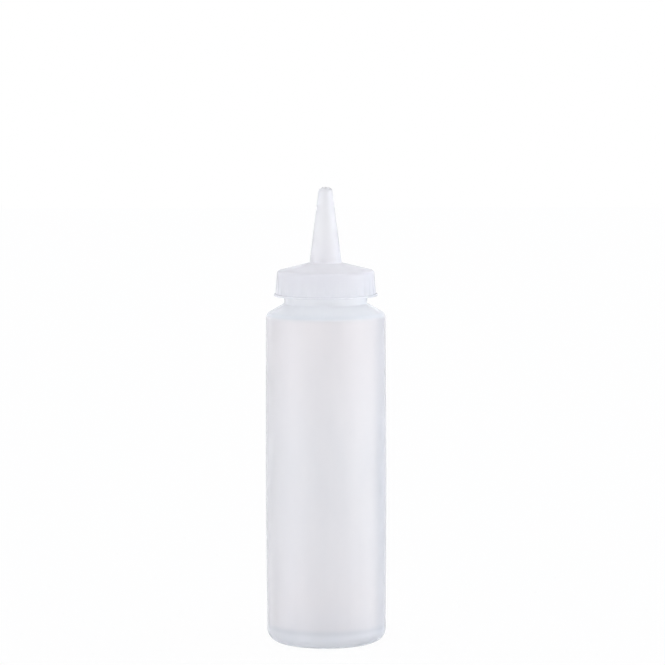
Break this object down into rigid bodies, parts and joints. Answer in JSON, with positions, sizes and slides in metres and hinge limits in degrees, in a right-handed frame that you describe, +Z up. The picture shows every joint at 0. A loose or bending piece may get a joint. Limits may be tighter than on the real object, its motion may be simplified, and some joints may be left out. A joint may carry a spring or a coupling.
{
  "type": "condiment squeeze bottle",
  "caption": "Slim round translucent squeeze bottle with a ribbed screw cap that rises into a hollow cone nozzle, shown closed; the cap unscrews and lifts off the threaded neck.",
  "frame": {"origin": "middle of the flat foot ring that the bottle stands on", "axes": "+Z up along the bottle's axis towards the nozzle's tip; the bottle is round, so X and Y are free, and the weld under the floor lies along X"},
  "size_m": [0.0504, 0.0504, 0.1898],
  "materials": {
    "bottle_plastic": "satin, milky translucent low-density polyethylene",
    "cap_plastic": "satin, milky translucent low-density polyethylene",
    "seal_foam": "soft matt white seal"
  },
  "bodies": {
    "bottle": {"bottle_body": "bottle_plastic"},
    "seal": {"seal_ring": "seal_foam"},
    "cap": {"nozzle_cap": "cap_plastic"}
  },
  "joints": [
    {"name": "cap_rise", "type": "slide", "parent": "bottle", "child": "seal", "axis": [0, 0, 1], "range_m": [0, 0.0127]},
    {"name": "cap_turn", "type": "hinge", "parent": "seal", "child": "cap", "pos_m": [0, 0, 0.14475], "axis": [0, 0, 1], "range_deg": [0, 1080]}
  ],
  "couplings": [
    {"joint": "cap_rise", "follows": "cap_turn", "m_per_rad": 0.0006737}
  ]
}
